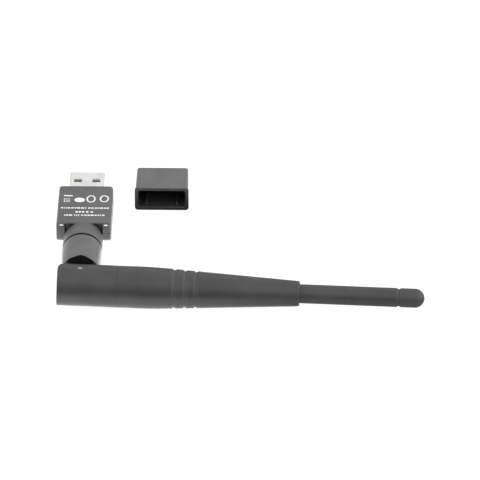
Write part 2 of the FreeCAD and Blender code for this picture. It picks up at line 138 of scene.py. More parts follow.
def rect(x, y, hx, hy, r):
    """Distance to a rectangle of half sizes hx and hy with corners of radius r."""
    qx = np.abs(x) - hx + r
    qy = np.abs(y) - hy + r
    out = np.sqrt(np.maximum(qx, 0) ** 2 + np.maximum(qy, 0) ** 2)
    return out + np.minimum(np.maximum(qx, qy), 0) - r


def span(v, a, b):
    """Distance to the stretch from a to b."""
    return np.abs(v - (a + b) / 2) - (b - a) / 2


def steps(lo, hi, step, fine=()):
    """Grid lines from lo to hi, closer together inside the fine bands (a, b, step)."""
    marks = sorted({lo, hi} | {v for a, b, _ in fine for v in (a, b) if lo < v < hi})
    out = [lo]
    for a, b in zip(marks[:-1], marks[1:]):
        mid = (a + b) / 2
        s = min([step] + [f[2] for f in fine if f[0] < mid < f[1]])
        n = max(1, int(math.ceil((b - a) / s - 1e-6)))
        out += list(a + (b - a) * np.arange(1, n + 1) / n)
    return np.array(out)


CORNERS = [(i, j, k) for i in (0, 1) for j in (0, 1) for k in (0, 1)]
EDGES = [(a, a | bit) for a in range(8) for bit in (1, 2, 4) if not a & bit]


def gradient(f, p, e=0.002):
    """Slope of the field f at the points p."""
    g = np.empty_like(p)
    for m in range(3):
        d = np.zeros(3)
        d[m] = e
        g[:, m] = (f(*(p + d).T) - f(*(p - d).T)) / (2 * e)
    return g


def surface(f, xs, ys, zs):
    """Closed quad mesh of f = 0: one vertex in each crossed cell, then moved onto the surface."""
    d = f(*np.meshgrid(xs, ys, zs, indexing="ij"))
    s = d < 0
    n = [len(xs) - 1, len(ys) - 1, len(zs) - 1]
    count = sum(s[i : i + n[0], j : j + n[1], k : k + n[2]].astype(np.int8) for i, j, k in CORNERS)
    ci, cj, ck = np.nonzero((count > 0) & (count < 8))
    ids = np.full(n, -1, np.int64)
    ids[ci, cj, ck] = np.arange(len(ci))
    val = [d[ci + i, cj + j, ck + k] for i, j, k in CORNERS]
    pos = [np.stack([xs[ci + i], ys[cj + j], zs[ck + k]], 1) for i, j, k in CORNERS]
    total = np.zeros((len(ci), 3))
    hits = np.zeros(len(ci))
    for a, b in EDGES:
        cross = (val[a] < 0) != (val[b] < 0)
        t = np.where(cross, val[a] / np.where(cross, val[a] - val[b], 1.0), 0.0)
        total += (pos[a] + (pos[b] - pos[a]) * t[:, None]) * cross[:, None]
        hits += cross
    p = total / hits[:, None]
    size = np.stack([np.diff(xs)[ci], np.diff(ys)[cj], np.diff(zs)[ck]], 1)
    for _ in range(4):
        g = gradient(f, p)
        move = -f(*p.T)[:, None] * g / np.maximum((g * g).sum(1), 0.25)[:, None]
        p = p + np.clip(move, -0.6 * size, 0.6 * size)
    faces = []
    for m in range(3):
        a, b = [(1, 2), (2, 0), (0, 1)][m]
        lo = [slice(None)] * 3
        hi = [slice(None)] * 3
        lo[m], hi[m] = slice(0, -1), slice(1, None)
        s0, s1 = s[tuple(lo)], s[tuple(hi)]
        e = np.array(np.nonzero(s0 != s1)).T
        ok = (e[:, a] > 0) & (e[:, b] > 0) & (e[:, a] < n[a]) & (e[:, b] < n[b])
        e = e[ok]
        ring = []
        for da, db in ((-1, -1), (0, -1), (0, 0), (-1, 0)):
            c = e.copy()
            c[:, a] += da
            c[:, b] += db
            ring.append(ids[c[:, 0], c[:, 1], c[:, 2]])
        q = np.stack(ring, 1)
        flip = ~s0[e[:, 0], e[:, 1], e[:, 2]]
        q[flip] = q[flip][:, ::-1]
        faces.append(q)
    g = gradient(f, p)
    normals = g / np.maximum(np.linalg.norm(g, axis=1), 1e-9)[:, None]
    return p, np.concatenate(faces), normals


def mesh_object(name, verts, faces, normals=None):
    """An object from vertices in mm, shaded smooth."""
    verts = np.asarray(verts, float) * MM
    me = bpy.data.meshes.new(name)
    if isinstance(faces, np.ndarray):
        faces = faces.tolist()
    me.from_pydata(verts.tolist(), [], faces)
    me.polygons.foreach_set("use_smooth", np.ones(len(me.polygons), bool))
    me.validate()
    if normals is not None:
        me.normals_split_custom_set_from_vertices([tuple(v) for v in normals])
    me.update()
    ob = bpy.data.objects.new(name, me)
    bpy.context.scene.collection.objects.link(ob)
    return ob


def rot_y(p, angle):
    """Points turned about the plug's axis."""
    c, s = math.cos(angle), math.sin(angle)
    q = np.array(p, float)
    x = q[:, 0] * c + q[:, 2] * s
    z = -q[:, 0] * s + q[:, 2] * c
    return np.stack([x, q[:, 1], z], 1)


def solid(name, f, xs, ys, zs, turned=False, at_pin=False):
    """An object from a field; some fields are drawn from the pin, or before the collar's small turn."""
    p, q, n = surface(f, xs, ys, zs)
    if at_pin:
        p = p + np.array([0, PIN_Y, 0])
    if turned:
        p, n = rot_y(p, TURN), rot_y(n, TURN)
    return mesh_object(name, p, q, n)


def lathe(name, profile, sides, upright=False):
    """A closed loop of (position, radius) points turned about its axis; ends on the axis close up."""
    pts = np.array(profile, float)
    a = np.arange(sides) * 2 * math.pi / sides
    verts, rows = [], []
    for s, r in pts:
        if r < 1e-6:
            rows.append([len(verts)])
            verts.append((s, 0.0, 0.0))
        else:
            rows.append(list(range(len(verts), len(verts) + sides)))
            verts += [(s, r * math.sin(t), r * math.cos(t)) for t in a]
    faces = []
    closed = len(rows[0]) > 1
    pairs = list(zip(rows[:-1], rows[1:])) + ([(rows[-1], rows[0])] if closed else [])
    for lo, hi in pairs:
        for i in range(sides):
            j = (i + 1) % sides
            if len(lo) == 1 and len(hi) == 1:
                continue
            if len(lo) == 1:
                faces.append((lo[0], hi[j], hi[i]))
            elif len(hi) == 1:
                faces.append((lo[i], lo[j], hi[0]))
            else:
                faces.append((lo[i], lo[j], hi[j], hi[i]))
    v = np.array(verts)
    if upright:
        v = np.stack([v[:, 1] + PIN_X, v[:, 2], v[:, 0]], 1)
    return mesh_object(name, rot_y(v + np.array([0, PIN_Y, 0]), TURN), faces)


def arc(cx, cr, r, a0, a1, n=8):
    """Points on an arc in (position, radius) space, between two angles in degrees."""
    angles = np.radians(np.linspace(a0, a1, n))
    return [(cx + r * math.cos(a), cr + r * math.sin(a)) for a in angles]


# ---------------------------------------------------------------- the pieces
def f_ears(x, y, z, bar):
    """Tail of the housing: sloped underside, pocket round the boss, ribbed ears with a bead on each."""
    slope = ((y - TAIL_Y - 2.4) * -1.6 + (z + HALF_H) * -2.4) / math.hypot(1.6, 2.4)
    bar = rmax(bar, slope, 0.6)
    pocket = np.maximum(rect(x, z - 1.475, POCKET_HALF_W, 2.075, 0.35), y - TAIL_Y - 2.1)
    bar = rmax(bar, -pocket, 0.15)
    nearest = np.clip(np.round((TOP_RIB_Z - z) / RIB_PITCH), 0, 5)
    rib = np.maximum(np.abs(z - TOP_RIB_Z + RIB_PITCH * nearest) - 0.14, y - TAIL_Y - 0.1)
    rib = np.maximum(rib, POCKET_HALF_W + 0.3 - np.abs(x))
    bar = rmax(bar, -rib, 0.1)
    bead_x = np.maximum(np.abs(np.abs(x) - BEAD_X) - 0.47, 0.0)
    bead = np.sqrt(bead_x**2 + (y - TAIL_Y) ** 2 + (z - BEAD_Z) ** 2) - 0.28
    return rmin(bar, bead, 0.06)


def f_housing(x, y, z):
    """Outside of the whole housing: a rounded bar that runs into an oval, then round, boss."""
    bar = rmax(rect(x, z, HALF_W, HALF_H, 1.2), span(y, TAIL_Y, FRONT_Y), 0.4)
    bar = f_ears(x, y, z, bar)
    half_w = np.interp(y, BOSS_Y, BOSS_HALF_W)
    half_h = np.interp(y, BOSS_Y, BOSS_HALF_H)
    reach = np.sqrt((x / half_w) ** 2 + (z / half_h) ** 2)
    boss = (reach - 1.0) * 0.97 * np.sqrt(half_w * half_h)
    boss = rmax(boss, span(y, SEAM_Y, TAIL_Y + 2.2), 0.12)
    return rmin(bar, boss, 0.3)


def f_housing_hollow(x, y, z):
    """Board bay, plug mouth, lead hole, journal bore, flange groove and the stop lug's track."""
    bay = rmax(rect(x, z, HALF_W - WALL, HALF_H - WALL, 0.6), span(y, -20.3, -WALL), 0.2)
    mouth = np.maximum(rect(x, z, PLUG_W + 0.04, PLUG_H + 0.04, 0.72), span(y, -2.2, 1.0))
    r = np.sqrt(x * x + z * z)
    lead = np.maximum(r - 1.6, span(y, -28.9, -19.3))
    journal = np.maximum(r - JOURNAL_R - 0.05, span(y, -36.0, -28.32))
    groove = np.maximum(r - FLANGE_R - 0.1, span(y, -30.02, -28.32))
    track = np.maximum(np.maximum(r - LUG_R - 0.1, span(y, -30.02, -28.88)), -z - 1.1)
    out = bay
    for part in (mouth, lead, journal, groove, track):
        out = np.minimum(out, part)
    return out


def f_housing_half(up):
    """The upper (1) or lower (-1) moulding, its rim rounded so that the joint line shows."""

    def f(x, y, z):
        shell = rmax(f_housing(x, y, z), -f_housing_hollow(x, y, z), 0.12)
        return rmax(shell, -z * up, 0.11)

    return f


def f_collar(x, y, z):
    """The turning collar before it's turned to its rest place."""
    r = np.sqrt(x * x + z * z)
    u, v = x - PIN_X, y - PIN_Y
    rho = np.sqrt(u * u + v * v)
    body = rmax(r - BOSS_R, span(y, PIN_Y - 9, COLLAR_Y), 0.15)
    foot_space = np.where(u < 0, v - SHOULDER_R, np.minimum(rho - SHOULDER_R, v - 7.1))
    peak = np.maximum(v - 8.1 + 0.33 * np.abs(u), 2.2 - np.abs(z))
    body = rmax(body, -np.minimum(foot_space, peak), 0.1)
    plan = np.minimum(np.maximum(np.abs(u) - 4.2, span(v, 0, 8.6)), rho - TONGUE_R)
    tongue = rmax(plan, np.abs(z) - TONGUE_HALF_T, 0.18)
    body = rmin(body, tongue, 0.25)
    hub = rmax(r - 5.3, span(y, COLLAR_Y - 0.6, SEAM_Y - 0.12), 0.06)
    journal = np.maximum(r - JOURNAL_R, span(y, SEAM_Y - 1, FLANGE_Y[1]))
    flange = rmax(r - FLANGE_R, span(y, *FLANGE_Y), 0.08)
    off_lug = np.abs(np.arctan2(x, z) - math.radians(92.1) + TURN)
    lug = np.maximum(np.maximum(r - LUG_R, span(y, *FLANGE_Y)), (off_lug - math.radians(10)) * r)
    for part in (hub, journal, flange, lug):
        body = np.minimum(body, part)
    bore = np.maximum(r - 0.9, 3.0 - v)
    race = np.maximum(np.maximum(np.abs(z) - 0.85, 2.2 - rho), np.maximum(-0.9 - x, rho - 5.3))
    body = rmax(body, -np.minimum(bore, race), 0.08)
    return rmax(body, PIN_R + 0.05 - rho, 0.08)


def f_knuckle(x, y, z):
    """Forked foot of the antenna, with the antenna along +X and y from the pin."""
    r = np.sqrt(y * y + z * z)
    u = x - PIN_X
    rho = np.sqrt(u * u + y * y)
    end = np.where(y < 0, -u, rho) - FOOT_END
    soft = 0.36 + 0.6 * np.clip((-u - 2.6) / 2.5, 0, 1) * np.clip((y + 2.5) / 4.0, 0, 1)
    body = rmax(r - FOOT_R, np.where(u < 0, end, -FOOT_END), soft)
    body = rmax(body, x - 12.3, 0.05)
    slot = np.minimum(rho - SLOT_R, rmax(u - 4.35, -4.35 - y, 0.4))
    slot = rmax(slot, np.abs(z) - SLOT_HALF_T, 0.12)
    body = rmax(body, -slot, 0.2)
    spigot = rmax(r - SPIGOT_R, span(x, 11.8, SPIGOT_END), 0.3)
    spigot = np.maximum(spigot, -np.maximum(r - 3.6, 12.3 - x))
    body = np.minimum(body, spigot)
    body = rmax(body, -np.maximum(r - 1.1, 3.0 - x), 0.1)
    return rmax(body, PIN_R + 0.01 - rho, 0.14)


def f_cap(x, y, z):
    """Cap with its mouth at the low end of y and slightly drafted sides."""
    cx = (cap_lo[0] + cap_hi[0]) / 2
    cz = (cap_lo[2] + cap_hi[2]) / 2
    y0, y1 = cap_lo[1], cap_hi[1]
    hw, hh = (cap_hi[0] - cap_lo[0]) / 2, (cap_hi[2] - cap_lo[2]) / 2
    x, z = x - cx, z - cz
    t = np.clip((y - y0) / (y1 - y0), 0, 1)
    draft = 0.13 * t
    body = rect(x, z, hw - 0.25 - draft, hh - 0.25, 1.0)
    body = rmax(body, span(y, y0, y1), 0.3)
    lip = rmax(rect(x, z, hw, hh, 1.1), span(y, y0, y0 + 1.2), 0.15)
    body = rmin(body, lip, 0.25)
    body = rmax(body, -(y - y0), 0.12)
    hollow = rect(x, z, hw - 1.1 - draft, hh - 1.1, 0.7)
    hollow = rmax(hollow, span(y, y0 - 2, y1 - 1.1), 0.4)
    body = rmax(body, -hollow, 0.22)
    ax, az = np.abs(x), np.abs(z)
    rib = rmax(np.abs(ax - PLUG_W + 0.8) - 0.4, PLUG_H + 0.05 - az, 0.12)
    rib = rmax(rib, y0 + 1.5 - y, 0.5)
    rib = np.maximum(np.maximum(rib, az - hh + 0.6), y - y1 + 0.6)
    return rmin(body, rib, 0.12)


def f_plug(x, y, z):
    """Folded sheet shell with rolled corners, latch windows and a fold seam below."""
    y_back, sheet = -6.0, 0.3
    outer = rect(x, z, PLUG_W, PLUG_H, 0.75)
    skin = rmax(outer, -rect(x, z, PLUG_W - sheet, PLUG_H - sheet, 0.45), 0.04)
    skin = rmax(skin, span(y, y_back, PLUG_Y), 0.07)
    ax = np.abs(x)
    window = rect(ax - 3.1, y - 6.6, 1.3, 1.0, 0.2)
    skin = rmax(skin, -np.maximum(window, 1.0 - np.abs(z)), 0.05)
    wave = 0.55 * np.clip(np.sin((y - 0.6) * 1.05) * 3, -1, 1)
    seam = np.maximum(np.abs(x - wave) - 0.045, z + 1.0)
    skin = np.maximum(skin, -seam)
    tab = np.maximum(span(ax, PLUG_W - sheet, PLUG_W), span(y, -9.0, y_back + 0.1))
    return np.minimum(skin, np.maximum(tab, span(z, -1.5, 0.6)))


def f_insulator(x, y, z):
    """Moulded block and tongue, slotted for the four contacts."""
    half, low = PLUG_W - 0.33, -PLUG_H + 0.33
    tongue = rmax(np.abs(x) - half, span(z, low, -0.1), 0.3)
    tongue = rmax(tongue, span(y, -6.0, 11.1), 0.3)
    block = rmax(rect(x, z, half, -low, 0.35), span(y, -6.0, -0.6), 0.1)
    body = np.minimum(tongue, block)
    ax = np.abs(x)
    inner = np.abs(ax - 1.0) < np.abs(ax - 3.5)
    cx = np.where(inner, 1.0, 3.5)
    y1 = np.where(inner, 8.95, 9.95)
    slot = np.maximum(np.abs(ax - cx) - 0.53, np.maximum(y - y1, -0.37 - z))
    depth = np.minimum(np.maximum(z - 0.6, -0.6 - y), z + 0.09)
    return rmax(body, -np.maximum(slot, depth), 0.04)


def f_contact(cx, y1):
    """One gilt strip, from the board to y1 along the tongue."""

    def f(x, y, z):
        d = rmax(np.abs(x - cx) - 0.5, span(z, -0.35, -0.11), 0.06)
        return rmax(d, span(y, -8.0, y1), 0.11)

    return f


def sleeve_outer(s):
    """Outer radius of the tapered sleeve, without its grooves."""
    if s <= TAPER_START:
        return FOOT_R
    if s < TAPER_FULL:
        return FOOT_R - (FOOT_R - TAPER_R) * ((s - TAPER_START) / (TAPER_FULL - TAPER_START)) ** 2
    return TAPER_R - (TAPER_R - SLEEVE_END_R) * (s - TAPER_FULL) / (SLEEVE_END - TAPER_FULL)


def soft_dip(d):
    """Depth of a soft groove at the distance d from its middle."""
    return GROOVE_DEPTH * math.exp(-((d / GROOVE_HALF_W) ** 2))


def make_sleeve():
    """Tapered sleeve: small edge at the foot, three finger grooves, rounded far end, hollow inside."""
    s0, s1, edge = SLEEVE_START, SLEEVE_END, 0.6
    bore_r = SPIGOT_R + 0.02
    pts = [(s0, bore_r), (s0, FOOT_R - 0.05)] + arc(s0 + 0.05, FOOT_R - 0.05, 0.05, 180, 90, 5)[1:]
    start = len(pts)
    for s in np.arange(s0 + 0.6, s1 - edge, 0.28):
        if min(abs(s - g) for g in GROOVES) > 1.25:
            pts.append((s, sleeve_outer(s)))
    for g in GROOVES:
        for d in np.linspace(-1.2, 1.2, 33):
            raised = 0.04 * math.exp(-(((abs(d) - 0.95) / 0.24) ** 2))
            pts.append((g + d, sleeve_outer(g + d) - soft_dip(d) + raised))
    pts[start:] = sorted(pts[start:])
    pts += arc(s1 - edge, sleeve_outer(s1) - edge + 0.03, edge, 90, 0, 9)
    pts += [(s1, 3.3)] + arc(s1 - 0.12, 3.3, 0.12, 0, -90, 4)[1:]
    pts += [(60.6, WHIP_R + 0.02), (60.2, 3.6)]
    pts += [(s, sleeve_outer(s) - 1.4) for s in np.linspace(59.6, TAPER_START, 40)]
    return lathe("antenna_sleeve_skin", pts + [(SPIGOT_END + 0.3, bore_r)], 160)


def whip_outer(s):
    """Radius of the sheath and its tip plug, with the soft groove where they meet."""
    return WHIP_R - soft_dip(s - TIP_SEAM - 0.02)


def make_whip():
    """Sheath: a long tube that dips into the groove at the tip."""
    pts = [(WHIP_START, WHIP_BORE_R), (WHIP_START, WHIP_R - 0.09), (WHIP_START + 0.1, WHIP_R)]
    pts += [(s, WHIP_R) for s in np.linspace(61, TIP_SEAM - 1.5, 86)]
    pts += [(s, whip_outer(s)) for s in np.linspace(TIP_SEAM - 1.4, TIP_SEAM, 18)]
    pts += [(TIP_SEAM, WHIP_BORE_R)]
    pts += [(s, WHIP_BORE_R) for s in np.linspace(TIP_SEAM - 0.7, 61, 12)]
    return lathe("whip_skin", pts, 112)


def make_tip():
    """Tip plug: a short spigot in the sheath's bore and a domed end."""
    back, front, spigot_r = TIP_SEAM - 1.2, TIP_SEAM + 0.03, WHIP_BORE_R - 0.02
    pts = [(back, 0.0), (back, spigot_r - 0.13), (back + 0.12, spigot_r), (front, spigot_r)]
    pts += [(s, whip_outer(s)) for s in np.linspace(front, TIP_SEAM + 1.4, 18)]
    pts += [(s, WHIP_R) for s in np.linspace(TIP_SEAM + 1.6, TIP_END - 3.6, 10)]
    pts += arc(TIP_END - WHIP_R, 0, WHIP_R, 90, 0, 26)[:-1] + [(TIP_END, 0.0)]
    return lathe("tip_cap_skin", pts, 112)


def make_pin():
    """Hinge pin: a turned rod, its seen end slightly domed."""
    z0, z1 = -6.55, 6.72
    pts = [(z0, 0.0), (z0, 0.82)] + arc(z0 + 0.16, PIN_R - 0.16, 0.16, 180, 90, 5)
    pts += arc(z1 - 0.2, PIN_R - 0.2, 0.2, 90, 30, 5)
    pts += [(z1 - 0.03, 0.55), (z1, 0.25), (z1, 0.0)]
    return lathe("hinge_pin_turned", pts, 64, upright=True)


def smooth_path(knots, count):
    """Evenly numbered points on a smooth curve through the knots, straightening at both ends."""
    knots = np.array(knots, float)
    at = np.concatenate([[0.0], np.cumsum(np.linalg.norm(np.diff(knots, axis=0), axis=1))])
    gap = np.diff(at)
    last = len(knots) - 1
    lhs, rhs = np.eye(last + 1), np.zeros_like(knots)
    for i in range(1, last):
        lhs[i, i - 1 : i + 2] = gap[i - 1], 2 * (gap[i - 1] + gap[i]), gap[i]
        rhs[i] = 6 * ((knots[i + 1] - knots[i]) / gap[i] - (knots[i] - knots[i - 1]) / gap[i - 1])
    bend = np.linalg.solve(lhs, rhs)
    out = []
    for t in np.linspace(0.0, at[-1], count):
        i = min(int(np.searchsorted(at, t, side="right")) - 1, last - 1)
        h, a, b = gap[i], at[i + 1] - t, t - at[i]
        curved = (bend[i] * a**3 + bend[i + 1] * b**3) / (6 * h)
        before = (knots[i] / h - bend[i] * h / 6) * a
        after = (knots[i + 1] / h - bend[i + 1] * h / 6) * b
        out.append(curved + before + after)
    return np.array(out)


def make_middle_lead():
    """The lead's length inside the collar: down the bore, then past the hinge pin in the tongue's race."""
    knots = [(0, -28.4, 0), (0, -36, 0), (0, -46, 0), (0, PIN_Y + 5.2, 0)]
    knots += [(1.3, PIN_Y + 3.4, 0), (2.9, PIN_Y + 1.9, 0)]
    path, sides = smooth_path(knots, 90), 28
    along = np.gradient(path, axis=0)
    along /= np.linalg.norm(along, axis=1)[:, None]
    up = np.array([0.0, 0.0, 1.0])
    across = np.cross(up, along)
    turn = np.arange(sides) * 2 * math.pi / sides
    rings = across[:, None] * np.cos(turn)[:, None] + up * np.sin(turn)[:, None]
    verts = (path[:, None] + LEAD_R * rings).reshape(-1, 3)
    faces = [list(range(sides))[::-1], list(range(len(verts) - sides, len(verts)))]
    for start in range(0, len(verts) - sides, sides):
        for i in range(sides):
            j = (i + 1) % sides
            faces.append([start + i, start + j, start + sides + j, start + sides + i])
    return mesh_object("coax_lead_bent", rot_y(verts, TURN), faces)


made = {}


def place(ob, body, node):
    """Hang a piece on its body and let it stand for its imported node."""
    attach(ob, body)
    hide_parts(node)
    made[node] = ob


def both_sides(*bands):
    """Fine bands and their mirror images."""
    return [*bands] + [(-b, -a, step) for a, b, step in bands]


def build_housing():
    xs = steps(-HALF_W - PAD, HALF_W + PAD, 0.35, both_sides((8.7, 9.2, 0.14), (5.5, 6.9, 0.14)))
    ys = [(-24.0, -21.2, 0.11), (-0.7, 0.2, 0.1), (-34.2, -33.7, 0.06)]
    ys = steps(SEAM_Y - PAD, FRONT_Y + PAD, 0.3, ys)
    fine = [(-0.2, 0.26, 0.055), (2.9, 4.35, 0.12), (-2.0, 3.0, 0.15), (4.2, 6.6, 0.2)]
    top_zs = steps(-0.2, BOSS_R + PAD, 0.3, fine)
    bottom_zs = steps(-BOSS_R - PAD, 0.2, 0.3, [(-0.26, 0.2, 0.055), (-4.35, -0.26, 0.14)])
    for part, up, zs in (("housing_top", 1, top_zs), ("housing_bottom", -1, bottom_zs)):
        place(solid(part + "_shell", f_housing_half(up), xs, ys, zs), "adapter", part)


def build_swivel():
    xs = steps(-BOSS_R - PAD, BOSS_R + PAD, 0.2)
    ys = [(PIN_Y + 6.6, PIN_Y + 8.4, 0.11), (COLLAR_Y - 0.3, SEAM_Y, 0.07)]
    ys = steps(PIN_Y - 5.6, -28.6, 0.25, ys)
    zs = steps(-BOSS_R - PAD, BOSS_R + PAD, 0.22, both_sides((1.5, 2.3, 0.1)))
    place(solid("swivel_collar_body", f_collar, xs, ys, zs, turned=True), "swivel", "swivel_collar")
    place(make_middle_lead(), "swivel", "coax_swivel_lead")


def build_antenna():
    xs = steps(-8.1, SPIGOT_END + 0.4, 0.25, [(-8.1, -5.0, 0.13), (12.1, 12.4, 0.04)])
    ys = steps(-FOOT_R - 0.4, FOOT_R + 0.4, 0.2)
    zs = steps(-FOOT_R - 0.4, FOOT_R + 0.4, 0.2, both_sides((1.5, 1.95, 0.09), (6.3, 7.0, 0.1)))
    foot = solid("antenna_knuckle_body", f_knuckle, xs, ys, zs, turned=True, at_pin=True)
    place(foot, "antenna", "antenna_knuckle")
    place(make_sleeve(), "antenna", "antenna_sleeve")
    place(make_whip(), "antenna", "whip_sheath")
    place(make_tip(), "antenna", "tip_cap")
    place(make_pin(), "antenna", "hinge_pin")


def build_cap():
    grid = []
    for k, step, low, low_step, high_step in ((0, 0.35, 1.7, 0.13, 0.13), (1, 0.3, 1.6, 0.09, 0.14),
                                              (2, 0.3, 1.7, 0.12, 0.12)):
        lo, hi = cap_lo[k], cap_hi[k]
        fine = [(lo - 0.1, lo + low, low_step), (hi - 1.7, hi + 0.1, high_step)]
        grid.append(steps(lo - PAD, hi + PAD, step, fine))
    place(solid("cap_body", f_cap, *grid), "cap", "cap_shell")


def build_plug():
    xs = both_sides((5.1, 6.1, 0.07)) + [(-1.0, 1.0, 0.06)]
    xs = steps(-PLUG_W - 0.2, PLUG_W + 0.2, 0.2, xs)
    ys = steps(-9.3, PLUG_Y + 0.2, 0.22, [(5.1, 7.9, 0.1), (11.7, 12.1, 0.05)])
    zs = steps(-PLUG_H - 0.2, PLUG_H + 0.2, 0.25, both_sides((1.4, 2.35, 0.065)))
    place(solid("usb_shell_sheet", f_plug, xs, ys, zs), "adapter", "usb_shell")
    xs = steps(-PLUG_W, PLUG_W, 0.2, both_sides((0.3, 1.7, 0.09), (2.8, 4.2, 0.09)))
    ys = steps(-6.3, 11.4, 0.25, [(8.7, 11.4, 0.12)])
    zs = steps(-2.2, 2.2, 0.22, [(-0.5, 0.1, 0.07)])
    place(solid("usb_tongue", f_insulator, xs, ys, zs), "adapter", "usb_insulator")
    for name, cx, y1 in CONTACTS:
        xs = steps(cx - 0.6, cx + 0.6, 0.08)
        ys = steps(-8.2, y1 + 0.2, 0.4, [(y1 - 0.4, y1 + 0.1, 0.06), (-8.1, -7.8, 0.06)])
        zs = steps(-0.45, 0.0, 0.045)
        place(solid("contact_" + name, f_contact(cx, y1), xs, ys, zs), "adapter", "usb_contact_" + name)


for build in (build_housing, build_swivel, build_antenna, build_cap, build_plug):
    build()


# ---------------------------------------------------------------- materials
class Nodes:
    """A material built from pattern nodes. Sizes are in mm, in the piece's own coordinates."""

    def __init__(self, name):
        self.mat = bpy.data.materials.new(name)
        self.mat.use_nodes = True
        self.tree = self.mat.node_tree
        self.bsdf = self.tree.nodes["Principled BSDF"]
        self.coord = self.tree.nodes.new("ShaderNodeTexCoord").outputs["Object"]

    def node(self, kind, **values):
        n = self.tree.nodes.new(kind)
        for k, v in values.items():
            setattr(n, k, v)
        return n

    def xyz(self, vector=None):
        n = self.node("ShaderNodeSeparateXYZ")
        self.feed(n.inputs[0], self.coord if vector is None else vector)
        return tuple(n.outputs)

    def feed(self, socket, value):
        if isinstance(value, bpy.types.NodeSocket):
            self.tree.links.new(value, socket)
        else:
            socket.default_value = value

    def set(self, **values):
        for k, v in values.items():
            self.feed(self.bsdf.inputs[k.replace("_", " ")], v)

    def noise(self, mm, detail=2.0, stretch=(1, 1, 1), offset=0.0, rough=0.55):
        m = self.node("ShaderNodeMapping")
        self.feed(m.inputs["Vector"], self.coord)
        m.inputs["Scale"].default_value = stretch
        m.inputs["Location"].default_value = (offset, offset * 0.7, -offset)
        n = self.node("ShaderNodeTexNoise")
        self.feed(n.inputs["Vector"], m.outputs[0])
        n.inputs["Scale"].default_value = 1.0 / (mm * MM)
        n.inputs["Detail"].default_value = detail
        n.inputs["Roughness"].default_value = rough
        return n.outputs["Fac"]

    def remap(self, value, a, b, c, d, smooth=False):
        n = self.node("ShaderNodeMapRange", interpolation_type="SMOOTHSTEP" if smooth else "LINEAR")
        for k, v in zip(("Value", "From Min", "From Max", "To Min", "To Max"), (value, a, b, c, d)):
            self.feed(n.inputs[k], v)
        return n.outputs[0]

    def math(self, op, a, b=0.0):
        n = self.node("ShaderNodeMath", operation=op)
        self.feed(n.inputs[0], a)
        self.feed(n.inputs[1], b)
        return n.outputs[0]

    def fade(self, value, a, b, smooth=True):
        """A mask that is 0 at a mm and 1 at b mm."""
        return self.remap(value, a * MM, b * MM, 0.0, 1.0, smooth)

    def off(self, value, middle=0.0):
        """How far a coordinate is from middle, in mm, on either side."""
        return self.math("ABSOLUTE", self.math("SUBTRACT", value, middle * MM))

    def times(self, first, *others):
        for value in others:
            first = self.math("MULTIPLY", first, value)
        return first

    def mix(self, fac, a, b):
        n = self.node("ShaderNodeMix", data_type="RGBA")
        self.feed(n.inputs[0], fac)
        for socket, v in ((n.inputs[6], a), (n.inputs[7], b)):
            self.feed(socket, v if isinstance(v, bpy.types.NodeSocket) else (*v, 1.0))
        return n.outputs[2]

    def bump(self, height, mm, strength=1.0, below=None):
        n = self.node("ShaderNodeBump")
        self.feed(n.inputs["Height"], height)
        n.inputs["Distance"].default_value = mm * MM
        n.inputs["Strength"].default_value = strength
        if below is not None:
            self.feed(n.inputs["Normal"], below)
        return n.outputs[0]

    def edges(self, lo=0.53, hi=0.62, patch=1.4):
        """Worn edges, broken up by a pattern."""
        point = self.node("ShaderNodeNewGeometry").outputs["Pointiness"]
        worn = self.remap(point, lo, hi, 0.0, 1.0, True)
        return self.times(worn, self.remap(self.noise(patch, 3), 0.42, 0.62, 0.15, 1.0, True))


def painted_joint_shade(m):
    """Mask of painted shade on the faces inside the turning joint and behind the antenna's foot, where shade
    falls.
    """
    x, y, _ = m.xyz()
    facing_y = m.xyz(m.node("ShaderNodeNewGeometry").outputs["Normal"])[1]
    back = m.remap(facing_y, -0.45, -0.75, 0.0, 1.0, True)
    shoulder = m.times(back, m.fade(y, PIN_Y + 8.6, PIN_Y + 8.4, False), m.fade(m.off(x), 4.6, 4.1))
    half = (SEAM_Y - COLLAR_Y) / 2
    groove = m.fade(m.off(y, (SEAM_Y + COLLAR_Y) / 2), half + 0.07, half)
    return m.math("MAXIMUM", shoulder, groove)


def painted_cap_shade(m):
    """Mask of painted shade in the cap's hollow and on its trimmed mouth face, stronger towards the table."""
    place_in = m.xyz()
    y, z = place_in[1:]
    mouth, floor = cap_lo[1], cap_hi[1]
    ends = [v * MM for v in (cap_lo[2], cap_hi[2])]
    face = m.times(m.fade(y, mouth + 0.16, mouth + 0.06), m.remap(z, *ends, 1.0, 0.55))
    hollow = m.times(m.fade(y, mouth + 0.25, mouth + 0.6), m.fade(y, floor - 0.9, floor - 1.0, False))
    for k in (0, 2):
        half = (cap_hi[k] - cap_lo[k]) / 2 - 1.0
        off = m.off(place_in[k], (cap_lo[k] + cap_hi[k]) / 2)
        hollow = m.times(hollow, m.fade(off, half + 0.02, half - 0.02, False))
    return m.math("MAXIMUM", face, m.times(hollow, m.remap(z, *ends, 0.8, 0.0)))


def painted_bead_glints(m):
    """Mask of pale painted glints on the beads of the housing's ears."""
    x, y, z = m.xyz()
    along = m.fade(m.off(m.off(x), BEAD_X), 0.75, 0.45)
    across = m.fade(m.off(z, BEAD_Z + 0.2), 0.32, 0.16)
    return m.times(along, across, m.fade(y, TAIL_Y + 0.02, TAIL_Y - 0.08, False))


